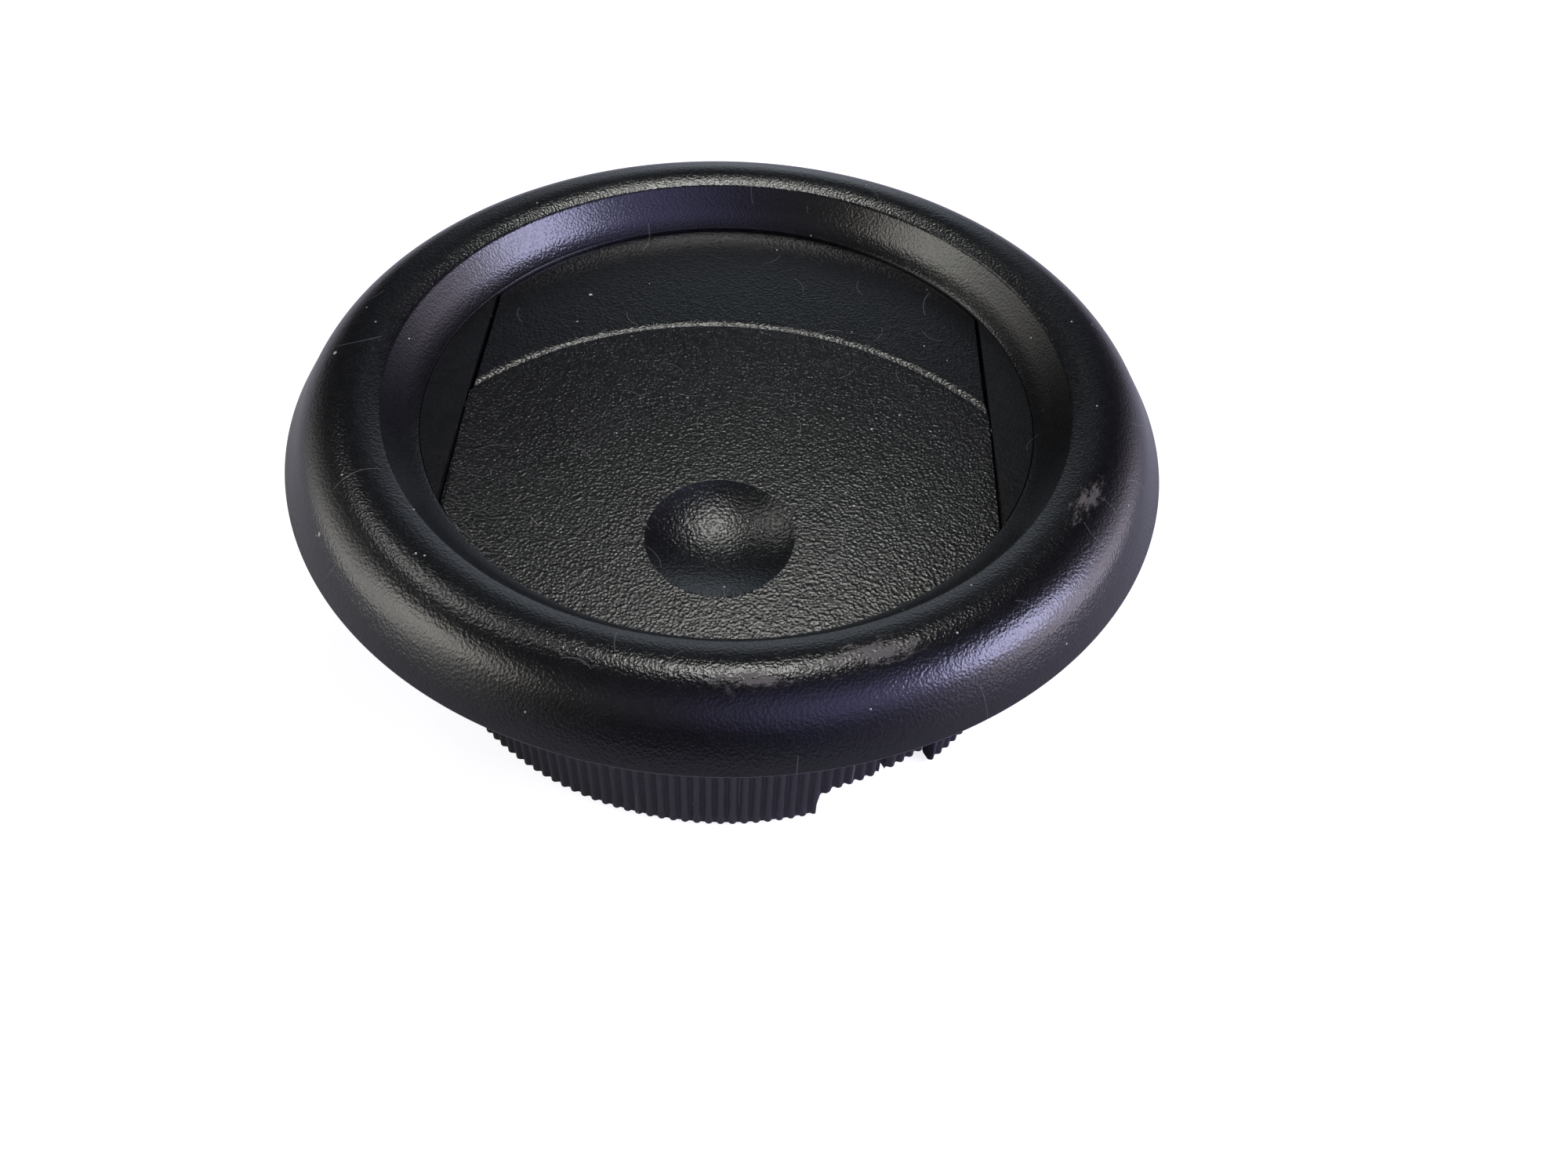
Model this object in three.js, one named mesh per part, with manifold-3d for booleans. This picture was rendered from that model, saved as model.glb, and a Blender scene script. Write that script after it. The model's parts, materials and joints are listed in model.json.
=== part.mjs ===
// Desk cable grommet with a tilting flap, for an 80 mm hole.
// Millimetres, +Z up. The foot of the sleeve stands on Z = 0 and its centre line is the Z axis.
// The flap tilts about X, and its thumb dimple is on the -Y side.

import * as THREE from 'three';
import { mergeVertices } from 'three/addons/utils/BufferGeometryUtils.js';
import Module from 'manifold-3d';

const wasm = await Module();
wasm.setup();

// rim: the domed cover ring that lies on the desk
const rimOuterRadius = 50.6;
const rimSeatZ = 28.7;
const crestRadius = 42.5;
const crestZ = 35.6;
const crestArc = 7.1;
const outerWallSlope = 60;
const innerCrestSlope = 18;
const brimArc = 14;
const brimSlope = 21.5;
const shoulderArc = 0.8;
const wallSlope = 56;
const coveArc = 8;
const lipSlope = 35;
const lipRadius = 35.8;
const plateZ = 30.6;
const lipUnderZ = 28.9;
const snapHooks = 6;
const hookHalfWidth = 4;
const hookX = [40.65, 42.2];
const hookToeX = 39.75;
const hookZ = [28.9, 29.35];

// sleeve: the ribbed tube that goes down into the desk
const sleeveRadius = 39.6;
const sleeveBore = 37.6;
const ribCount = 180;
const ribDepth = 0.4;
const sleeveShelfZ = 28.6;
const neckX = [38.3, 39.4];
const neckTopZ = 30.7;
const beadRadius = 40.3;
const beadZ = [29.9, 30.7];
const ledgeRadius = 35.4;
const ledgeZ = [20.9, 22.2];
const notchCount = 3;
const notchAzimuth = 30;
const notchHalfAngle = 11.8;
const notchHeight = 5.3;
const notchCorner = 2.5;
const slitTopZ = 19.4;
const slits = [{ azimuth: 30, width: 0.8 }, { azimuth: 40.6, width: 1.4 }];

// carrier: the round insert that turns in the sleeve and holds the flap
const carrierRing = { inner: 35.95, outer: 37.3, bottom: 22.5, top: 28.6 };
const segmentRadius = 35.45;
const segmentChord = 30.8;
const segmentUnderZ = 27;
const cheekThickness = 1.8;
const cheekY = [-11, 12.5];
const cheekBottomZ = 17.5;
const stopWidth = 1.8;
const openAngle = 45;

// flap: one moulding, a front plate that slopes down to its thumb dimple and a level rear plate
const flapRadius = 35.35;
const flapHalfWidth = 30.5;
const rearHalfWidth = 30.2;
const plateThickness = 1.8;
const rearTopZ = 30.2;
const frontSlope = 4;
const stepArc = 42;
const stepApexY = 13.1;
const frontCorner = 1.6;
const dimpleY = -20.4;
const dimpleRadius = 8.05;
const dimpleDepth = 1.7;
const axisZ = 27;
const bossRadius = 2.2;
const bossInnerX = 22;
const stiffenerX = 12;

// hinge pins
const pinRadius = 1.2;
const pinX = [24.6, 33.2];
const pinChamfer = 0.3;
const fitGap = 0.05;
const runningGap = 0.15;
const restGap = 0.3;

const radians = THREE.MathUtils.degToRad;
const sinDeg = (angle) => Math.sin(radians(angle));
const cosDeg = (angle) => Math.cos(radians(angle));

const blackPlastic = { color: 0x15161a, roughness: 0.5, metalness: 0 };
const pinSteel = { color: 0xa7a9ac, roughness: 0.3, metalness: 1 };

// Points along an arc, from one angle to another in degrees.
function arc(centreX, centreY, radius, from, to, steps) {
  const points = [];
  for (let i = 0; i <= steps; i++) {
    const angle = from + (to - from) * i / steps;
    points.push(new THREE.Vector2(centreX + radius * cosDeg(angle), centreY + radius * sinDeg(angle)));
  }
  return points;
}

// Turns a closed three.js geometry into a solid, facing outwards whichever way it was wound.
function solid(geometry) {
  const bare = geometry.clone();
  bare.deleteAttribute('normal');
  bare.deleteAttribute('uv');
  const merged = mergeVertices(bare, 1e-4);
  const vertProperties = new Float32Array(merged.attributes.position.array);
  const corners = merged.index.array;
  const kept = [];
  let volume = 0;
  const a = new THREE.Vector3();
  const b = new THREE.Vector3();
  const c = new THREE.Vector3();
  for (let i = 0; i < corners.length; i += 3) {
    const [p, q, r] = [corners[i], corners[i + 1], corners[i + 2]];
    if (p === q || q === r || r === p) continue;
    kept.push([p, q, r]);
    a.fromArray(vertProperties, 3 * p);
    b.fromArray(vertProperties, 3 * q);
    c.fromArray(vertProperties, 3 * r);
    volume += a.dot(b.cross(c));
  }
  const facing = volume < 0 ? kept.map(([p, q, r]) => [p, r, q]) : kept;
  return new wasm.Manifold(new wasm.Mesh({
    numProp: 3, vertProperties, triVerts: new Uint32Array(facing.flat()),
  }));
}

function lathe(profile, segments) {
  const points = profile.map((p) => (Array.isArray(p) ? new THREE.Vector2(p[0], p[1]) : p));
  const geometry = new THREE.LatheGeometry([...points, points[0].clone()], segments);
  geometry.rotateX(Math.PI / 2);
  return solid(geometry);
}

function prism(shape, bottom, top) {
  const depth = top - bottom;
  const geometry = new THREE.ExtrudeGeometry(shape, { depth, bevelEnabled: false, curveSegments: 36 });
  geometry.translate(0, 0, bottom);
  return solid(geometry);
}

function outline(points) {
  return new THREE.Shape(points.map((p) => (Array.isArray(p) ? new THREE.Vector2(p[0], p[1]) : p)));
}

function block(x, y, z) {
  const geometry = new THREE.BoxGeometry(x[1] - x[0], y[1] - y[0], z[1] - z[0]);
  geometry.translate((x[0] + x[1]) / 2, (y[0] + y[1]) / 2, (z[0] + z[1]) / 2);
  return solid(geometry);
}

// A round bar along X at the flap's axis.
function bar(radius, x, segments = 24) {
  const geometry = new THREE.CylinderGeometry(radius, radius, x[1] - x[0], segments);
  geometry.rotateZ(Math.PI / 2);
  geometry.translate((x[0] + x[1]) / 2, 0, axisZ);
  return solid(geometry);
}

// A flat outline in Y and Z, given a thickness along X.
function sideProfile(points, x) {
  const geometry = new THREE.ExtrudeGeometry(outline(points), { depth: x[1] - x[0], bevelEnabled: false });
  geometry.rotateX(Math.PI / 2);
  geometry.rotateZ(Math.PI / 2);
  geometry.translate(x[0], 0, 0);
  return solid(geometry);
}

function finish(manifold, name, look) {
  const mesh = manifold.getMesh();
  const geometry = new THREE.BufferGeometry();
  geometry.setAttribute('position', new THREE.BufferAttribute(new Float32Array(mesh.vertProperties), 3));
  geometry.setIndex(new THREE.BufferAttribute(new Uint32Array(mesh.triVerts), 1));
  geometry.computeVertexNormals();
  const piece = new THREE.Mesh(geometry, new THREE.MeshStandardMaterial(look));
  piece.name = name;
  return piece;
}

// An arc that goes on from the end of a profile, bending it from one downward slope to a steeper one.
function bendOn(profile, radius, fromSlope, toSlope, steps) {
  const end = profile[profile.length - 1];
  const centreX = end.x + radius * sinDeg(fromSlope);
  const centreZ = end.y - radius * cosDeg(fromSlope);
  return arc(centreX, centreZ, radius, 90 + fromSlope, 90 + toSlope, steps).slice(1);
}

// Domed shell: outer wall, crest, brim, shoulder and a wall that eases into the lip; hollow underneath.
function makeRim() {
  const centreZ = crestZ - crestArc;
  const outer = arc(crestRadius, centreZ, crestArc, 90 - outerWallSlope, 90 + innerCrestSlope, 9);
  const brim = bendOn(outer, brimArc, innerCrestSlope, brimSlope, 2);
  const shoulder = bendOn(brim, shoulderArc, brimSlope, wallSlope, 4);
  const coveX = lipRadius - coveArc * sinDeg(lipSlope);
  const coveZ = plateZ + coveArc * cosDeg(lipSlope);
  const cove = arc(coveX, coveZ, coveArc, wallSlope - 90, lipSlope - 90, 4);
  const hollow = [
    [37.95, lipUnderZ], [37.95, 30.6], [40.4, 33.4], [43, 33.7], [45.6, 32.6], [47.1, 31], [48.4, rimSeatZ],
  ];
  const shell = lathe([
    [rimOuterRadius, rimSeatZ], ...outer, ...brim, ...shoulder, ...cove, [lipRadius, lipUnderZ], ...hollow,
  ], 72);
  const width = [-hookHalfWidth, hookHalfWidth];
  const hook = block(hookX, width, [hookZ[0], 34]).add(block([hookToeX, hookX[0] + 0.1], width, hookZ));
  let rim = shell;
  for (let i = 0; i < snapHooks; i++) rim = rim.add(hook.rotate([0, 0, 30 + i * 360 / snapHooks]));
  return finish(rim, 'rim', blackPlastic);
}

// Ribbed tube with a snap bead round its top, an inner ledge for the carrier, and notches at its foot.
function makeSleeve() {
  const rim = [];
  for (let i = 0; i < 2 * ribCount; i++) {
    const radius = sleeveRadius - (i % 2) * ribDepth;
    const angle = 180 * i / ribCount;
    rim.push([radius * cosDeg(angle), radius * sinDeg(angle)]);
  }
  let sleeve = prism(outline(rim), 0, sleeveShelfZ);
  sleeve = sleeve.add(lathe([
    [neckX[0], sleeveShelfZ - 1], [neckX[1], sleeveShelfZ - 1], [neckX[1], beadZ[0] - 0.4],
    [beadRadius, beadZ[0]], [beadRadius, beadZ[1] - 0.4], [neckX[1], beadZ[1]], [neckX[0], neckTopZ],
  ], 72));
  const overTop = sleeveShelfZ + 1;
  sleeve = sleeve.subtract(lathe([[0, -1], [sleeveBore, -1], [sleeveBore, overTop], [0, overTop]], 72));
  sleeve = sleeve.add(lathe([
    [ledgeRadius, ledgeZ[0] + 0.6], [sleeveBore + 0.5, ledgeZ[0] - 1.2], [sleeveBore + 0.5, ledgeZ[1]],
    [ledgeRadius, ledgeZ[1]],
  ], 72));
  const reach = [sleeveBore - 4, sleeveRadius + 3];
  const halfWidth = sleeveRadius * Math.sin(radians(notchHalfAngle));
  const notch = [
    [-halfWidth, -1], [halfWidth, -1], [halfWidth, 0.6],
    ...arc(halfWidth - notchCorner, notchHeight - notchCorner, notchCorner, 0, 90, 5),
    ...arc(notchCorner - halfWidth, notchHeight - notchCorner, notchCorner, 90, 180, 5),
  ];
  for (let i = 0; i < notchCount; i++) {
    const turn = 360 * i / notchCount - 90;
    sleeve = sleeve.subtract(sideProfile(notch, reach).rotate([0, 0, turn + notchAzimuth]));
    for (const slit of slits) {
      const cut = block(reach, [-slit.width / 2, slit.width / 2], [-1, slitTopZ]);
      sleeve = sleeve.subtract(cut.rotate([0, 0, turn + slit.azimuth]));
    }
  }
  return finish(sleeve, 'sleeve', blackPlastic);
}

// A segment plate cut from a disc by the flap's opening, between two heights.
function segmentPlate(radius, bottom, top) {
  const end = Math.acos(segmentChord / radius) * 180 / Math.PI;
  return prism(outline(arc(0, 0, radius, -end, end, 16)), bottom, top);
}

function makeCarrier() {
  const ring = carrierRing;
  let carrier = lathe([
    [ring.inner, ring.bottom], [ring.outer, ring.bottom], [ring.outer, ring.top], [ring.inner, ring.top],
  ], 72);
  const plate = segmentPlate(segmentRadius, segmentUnderZ, plateZ)
    .add(segmentPlate(ring.outer, segmentUnderZ, ring.top));
  const cheek = block([segmentChord, segmentChord + cheekThickness], cheekY, [cheekBottomZ, segmentUnderZ + 1]);
  const drop = plateZ - plateThickness - axisZ;
  const clear = (drop - restGap) / cosDeg(openAngle);
  const openStop = [
    [-4.2, axisZ - 4.2 + clear], [-9.4, axisZ - 9.4 + clear], [-9.4, cheekBottomZ], [-4.2, cheekBottomZ + 2],
  ];
  const ledgeTop = rearTopZ - plateThickness - restGap;
  const shutStop = [[7, ledgeTop - 3], [12, ledgeTop - 3], [12, ledgeTop], [7, ledgeTop]];
  const stopX = [segmentChord - stopWidth, segmentChord + 0.5];
  const side = plate.add(cheek).add(sideProfile(openStop, stopX)).add(sideProfile(shutStop, stopX))
    .subtract(bar(pinRadius + runningGap, [segmentChord - 1, segmentChord + cheekThickness + 1]));
  carrier = carrier.add(side).add(side.mirror([1, 0, 0]));
  return finish(carrier, 'carrier', blackPlastic);
}

function frontOutline() {
  const centreY = stepApexY - stepArc;
  const seam = Math.asin(flapHalfWidth / flapRadius) * 180 / Math.PI;
  const cornerX = flapHalfWidth - frontCorner;
  const reach = Math.sqrt((stepArc - frontCorner) ** 2 - cornerX ** 2);
  const cornerY = centreY + reach;
  const tangent = Math.atan2(reach, cornerX) * 180 / Math.PI;
  return outline([
    ...arc(0, 0, flapRadius, -90 - seam, -90 + seam, 40),
    ...arc(cornerX, cornerY, frontCorner, 0, tangent, 4),
    ...arc(0, centreY, stepArc, tangent, 180 - tangent, 28).slice(1, -1),
    ...arc(-cornerX, cornerY, frontCorner, 180 - tangent, 180, 4),
  ]);
}

function rearOutline() {
  const seam = Math.asin(flapHalfWidth / flapRadius) * 180 / Math.PI;
  const edge = arc(0, 0, flapRadius, 90 - seam, 90 + seam, 40);
  return outline([[rearHalfWidth, -4], ...edge, [-rearHalfWidth, -4]]);
}

// The front plate with its dimple and stiffeners is drawn level, then sloped; the rest of the flap is level.
function makeFlap() {
  const underside = plateZ - plateThickness;
  const rearUnderside = rearTopZ - plateThickness;
  const stiffenerZ = axisZ - 0.9;
  const sphere = (dimpleRadius ** 2 + dimpleDepth ** 2) / (2 * dimpleDepth);
  const bowlCentreZ = plateZ - dimpleDepth + sphere;
  const bowl = (radius, top) => {
    const reach = Math.acos((bowlCentreZ - top) / radius) * 180 / Math.PI;
    return lathe([...arc(0, bowlCentreZ, radius, -90, reach - 90, 8), [0, top]], 40).translate([0, dimpleY, 0]);
  };
  let front = prism(frontOutline(), underside, plateZ)
    .add(bowl(sphere + plateThickness, underside + 0.4))
    .subtract(bowl(sphere, plateZ + 0.5));
  for (const x of [-stiffenerX, stiffenerX]) {
    front = front.add(block([x - 0.6, x + 0.6], [-28, 3], [stiffenerZ, underside]));
  }
  front = front.translate([0, 0, -axisZ]).rotate([frontSlope, 0, 0]).translate([0, 0, axisZ]);
  let flap = front.add(prism(rearOutline(), rearUnderside, rearTopZ));
  for (const side of [-1, 1]) {
    const reach = side < 0 ? [-rearHalfWidth, -bossInnerX] : [bossInnerX, rearHalfWidth];
    const x = side * stiffenerX;
    flap = flap.add(bar(bossRadius, reach))
      .add(block(reach, [-bossRadius, bossRadius], [axisZ, underside]))
      .add(block([x - 0.6, x + 0.6], [0, 29], [stiffenerZ, rearUnderside]));
    const bore = side < 0 ? [-rearHalfWidth - 1, -pinX[0] + restGap] : [pinX[0] - restGap, rearHalfWidth + 1];
    flap = flap.subtract(bar(pinRadius + fitGap, bore));
  }
  flap = flap.add(block([-bossInnerX - 0.2, bossInnerX + 0.2], [-0.7, 0.7], [axisZ - bossRadius, underside]));
  return finish(flap, 'flap', blackPlastic);
}

function makePin(side) {
  const length = pinX[1] - pinX[0];
  const geometry = new THREE.LatheGeometry([
    new THREE.Vector2(0, 0), new THREE.Vector2(pinRadius - pinChamfer, 0),
    new THREE.Vector2(pinRadius, pinChamfer), new THREE.Vector2(pinRadius, length - pinChamfer),
    new THREE.Vector2(pinRadius - pinChamfer, length),
    new THREE.Vector2(0, length),
  ], 24);
  geometry.rotateZ(-Math.PI / 2);
  geometry.translate(pinX[0], 0, axisZ);
  const pin = solid(geometry);
  if (side < 0) return finish(pin.mirror([1, 0, 0]), 'hinge_pin_left', pinSteel);
  return finish(pin, 'hinge_pin_right', pinSteel);
}

const grommet = new THREE.Group();
grommet.add(makeRim(), makeSleeve(), makeCarrier(), makeFlap(), makePin(-1), makePin(1));

export default grommet;
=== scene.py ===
import bpy, bmesh, json, math
from mathutils import Matrix, Vector


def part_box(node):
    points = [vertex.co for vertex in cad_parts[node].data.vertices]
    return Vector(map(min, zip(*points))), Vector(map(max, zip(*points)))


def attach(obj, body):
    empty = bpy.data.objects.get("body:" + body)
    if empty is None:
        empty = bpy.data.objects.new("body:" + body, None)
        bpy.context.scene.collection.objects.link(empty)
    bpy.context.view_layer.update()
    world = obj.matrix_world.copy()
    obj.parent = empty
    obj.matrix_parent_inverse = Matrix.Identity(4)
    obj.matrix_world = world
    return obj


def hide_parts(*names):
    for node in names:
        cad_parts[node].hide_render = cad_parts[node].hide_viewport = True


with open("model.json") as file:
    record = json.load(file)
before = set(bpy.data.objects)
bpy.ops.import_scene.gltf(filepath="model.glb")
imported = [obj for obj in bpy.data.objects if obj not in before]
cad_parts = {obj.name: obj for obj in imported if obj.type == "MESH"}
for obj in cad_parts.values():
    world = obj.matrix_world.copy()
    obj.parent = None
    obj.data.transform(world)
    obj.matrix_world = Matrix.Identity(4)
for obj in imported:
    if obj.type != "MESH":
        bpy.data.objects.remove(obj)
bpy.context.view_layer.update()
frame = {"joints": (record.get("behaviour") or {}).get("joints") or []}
scene = bpy.context.scene
mm = 0.001

# heights and radii that several pieces share, read from the frame
rimLow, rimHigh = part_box("rim")
carrierLow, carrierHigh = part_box("carrier")
tiltJoint = next(j for j in frame["joints"] if j["name"] == "flap_tilt")
hinge = Vector(tiltJoint["pos_m"])
plateTop = carrierHigh.z
print("frame loaded")


def arcPoints(cx, cy, r, a0, a1, n):
    return [(cx + r * math.cos(math.radians(a0 + (a1 - a0) * i / n)),
             cy + r * math.sin(math.radians(a0 + (a1 - a0) * i / n))) for i in range(n + 1)]


def makeObject(name, bm, smoothAngle=32, weighted=True):
    bmesh.ops.recalc_face_normals(bm, faces=bm.faces)
    mesh = bpy.data.meshes.new(name)
    bm.to_mesh(mesh)
    bm.free()
    obj = bpy.data.objects.new(name, mesh)
    scene.collection.objects.link(obj)
    mesh.shade_smooth()
    mesh.set_sharp_from_angle(angle=math.radians(smoothAngle))
    if weighted:
        fix = obj.modifiers.new("evenShading", "WEIGHTED_NORMAL")
        fix.keep_sharp = True
        fix.weight = 100
    return obj


def spin(bm, profile, steps, ripple=None):
    # profile is a closed loop of (radius, height) in mm; ripple(angle, radius, height) moves a radius
    rings = []
    for i in range(steps):
        a = 2 * math.pi * i / steps
        ring = []
        for r, z in profile:
            rr = ripple(a, r, z) if ripple else r
            ring.append(bm.verts.new((rr * mm * math.cos(a), rr * mm * math.sin(a), z * mm)))
        rings.append(ring)
    for i in range(steps):
        one, two = rings[i], rings[(i + 1) % steps]
        for k in range(len(profile)):
            m = (k + 1) % len(profile)
            bm.faces.new((one[k], two[k], two[m], one[m]))


def offsetLoop(points, amounts):
    # moves each point of a counterclockwise loop inwards by its own amount
    n = len(points)
    out = []
    for i in range(n):
        p0, p1, p2 = (Vector(points[(i + k) % n]) for k in (-1, 0, 1))
        e1 = (p1 - p0).normalized()
        e2 = (p2 - p1).normalized()
        n1 = Vector((-e1.y, e1.x))
        n2 = Vector((-e2.y, e2.x))
        middle = (n1 + n2).normalized()
        out.append(p1 + middle * amounts[i] / max(0.4, middle.dot(n1)))
    return out


def plate(bm, loop, bottom, top, edges, roundBottom=0.2, steps=5, support=0.5):
    # a flat plate with a soft edge; edges gives (kind, across, drop) for each point of the loop, in mm
    n = len(loop)
    rows = [[(p, bottom) for p in offsetLoop(loop, [roundBottom + support] * n)]]
    for s in range(3):
        t = math.radians(90 * s / 2)
        level = bottom + roundBottom * (1 - math.cos(t))
        rows.append([(p, level) for p in offsetLoop(loop, [roundBottom * (1 - math.sin(t))] * n)])
    for s in range(steps, -1, -1):
        spots = [inset(kind, s / steps, across, drop) for kind, across, drop in edges]
        pts = offsetLoop(loop, [across for across, drop in spots])
        rows.append([(p, top - drop) for p, (across, drop) in zip(pts, spots)])
    rows.append([(p, top) for p in offsetLoop(loop, [across + support for kind, across, drop in edges])])
    rows = [[bm.verts.new((p.x * mm, p.y * mm, z * mm)) for p, z in row] for row in rows]
    for one, two in zip(rows, rows[1:]):
        for i in range(n):
            k = (i + 1) % n
            bm.faces.new((one[i], one[k], two[k], two[i]))
    bm.faces.new(list(reversed(rows[0])))
    bm.faces.new(rows[-1])


def brick(bm, x, y, z, bevel=0.25):
    made = bmesh.ops.create_cube(bm, size=1)
    for v in made["verts"]:
        v.co = Vector(((x[0] + x[1]) / 2 + v.co.x * (x[1] - x[0]),
                       (y[0] + y[1]) / 2 + v.co.y * (y[1] - y[0]),
                       (z[0] + z[1]) / 2 + v.co.z * (z[1] - z[0]))) * mm
    if bevel:
        edges = list({e for v in made["verts"] for e in v.link_edges})
        bmesh.ops.bevel(bm, geom=edges, offset=bevel * mm, segments=2, affect="EDGES")


def rodX(bm, radius, x0, x1, y, z, steps=48, edge=0.2):
    ends = [(x0, radius - edge), (x0 + edge, radius), (x1 - edge, radius), (x1, radius - edge)]
    rows = []
    for x, r in ends:
        rows.append([bm.verts.new((x * mm, (y + r * math.cos(2 * math.pi * i / steps)) * mm,
                                   (z + r * math.sin(2 * math.pi * i / steps)) * mm)) for i in range(steps)])
    for one, two in zip(rows, rows[1:]):
        for i in range(steps):
            k = (i + 1) % steps
            bm.faces.new((one[i], one[k], two[k], two[i]))
    bm.faces.new(list(reversed(rows[0])))
    bm.faces.new(rows[-1])


def sideShape(bm, points, x0, x1):
    # an outline in Y and Z with a thickness along X
    rows = [[bm.verts.new((x * mm, y * mm, z * mm)) for y, z in points] for x in (x0, x1)]
    n = len(points)
    for i in range(n):
        k = (i + 1) % n
        bm.faces.new((rows[0][i], rows[0][k], rows[1][k], rows[1][i]))
    bm.faces.new(list(reversed(rows[0])))
    bm.faces.new(rows[1])


def boolean(obj, cutter, kind, smoothAngle=32, selfCut=False):
    # joins or cuts obj with cutter, which is then thrown away
    mod = obj.modifiers.new("cut", "BOOLEAN")
    mod.operation = kind
    mod.solver = "EXACT"
    mod.use_self = selfCut
    mod.object = cutter
    deps = bpy.context.evaluated_depsgraph_get()
    mesh = bpy.data.meshes.new_from_object(obj.evaluated_get(deps))
    obj.modifiers.clear()
    obj.data = mesh
    bpy.data.objects.remove(cutter)
    mesh.shade_smooth()
    mesh.set_sharp_from_angle(angle=math.radians(smoothAngle))


def slopeFront(obj, degrees):
    # the front plate is drawn level, then sloped about the hinge line
    about = Matrix.Rotation(math.radians(degrees), 4, "X")
    obj.data.transform(Matrix.Translation(hinge) @ about @ Matrix.Translation(-hinge))


def inset(kind, t, across, drop):
    # one point on a plate's edge: how far in from the outline and how far below the top
    # t runs from 0 at the top to 1 at the outline
    if kind == "round":
        a = math.radians(90 * t)
        return across * (1 - math.sin(a)), drop * (1 - math.cos(a))
    # a wide roll of its own radius, which runs on flatter where the front plate hides it
    rolled = min(t * across, drop * 0.42)
    past = t * across - rolled
    return across * (1 - t), drop - math.sqrt(drop * drop - rolled * rolled) + past * 0.12


def addNode(tree, kind, place, **values):
    node = tree.nodes.new(kind)
    node.location = place
    for key, value in values.items():
        setattr(node, key, value)
    return node


def noiseNode(tree, coords, scale, detail, rough, place):
    node = addNode(tree, "ShaderNodeTexNoise", place)
    tree.links.new(coords, node.inputs["Vector"])
    node.inputs["Scale"].default_value = scale
    node.inputs["Detail"].default_value = detail
    node.inputs["Roughness"].default_value = rough
    return node


def rampNode(tree, value, stops, place):
    node = addNode(tree, "ShaderNodeValToRGB", place)
    tree.links.new(value, node.inputs["Fac"])
    ramp = node.color_ramp
    while len(ramp.elements) < len(stops):
        ramp.elements.new(0.5)
    for element, (at, colour) in zip(ramp.elements, stops):
        element.position = at
        element.color = colour if len(colour) == 4 else (*colour, 1)
    return node


def mathNode(tree, kind, a, b, place, clamp=False):
    node = addNode(tree, "ShaderNodeMath", place, operation=kind, use_clamp=clamp)
    for socket, value in zip(node.inputs, (a, b)):
        if isinstance(value, (int, float)):
            socket.default_value = value
        else:
            tree.links.new(value, socket)
    return node.outputs[0]


def mixColour(tree, factor, a, b, place):
    node = addNode(tree, "ShaderNodeMix", place, data_type="RGBA")
    for socket, value in ((node.inputs[0], factor), (node.inputs[6], a), (node.inputs[7], b)):
        if isinstance(value, (int, float)):
            socket.default_value = value
        elif isinstance(value, tuple):
            socket.default_value = (*value, 1)
        else:
            tree.links.new(value, socket)
    return node.outputs[2]


# grain and marks of use that all the plastic shares
marks = {
    # cells per metre, half length and half width as shares of a cell, share of the cells that hold a hair
    "hairs": ((95, 0.24, 0.0055, 0.16), (210, 0.32, 0.009, 0.12)),
    "bow": 0.9, "fullTurn": 6.28,
    # cells per metre, radius of a speck as a share of a cell
    "specks": ((420, 0.10), (1100, 0.13)),
    "wornPerMetre": 38, "tonePerMetre": 900,
    # the grain's cells are bent by a coarser noise, in metres, and broken up by a finer one
    "bendShare": 0.7, "bendBy": (0.00035, 0.00035, 0.00035), "crackleShare": 2.6,
    "dent": 0.25, "dentDepth": 0.03, "scuffStreak": (700, 1900, 1200),
    "scratchColour": (0.11, 0.105, 0.10), "dustColour": (0.42, 0.40, 0.37), "scuffColour": (0.10, 0.088, 0.076),
}


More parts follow.
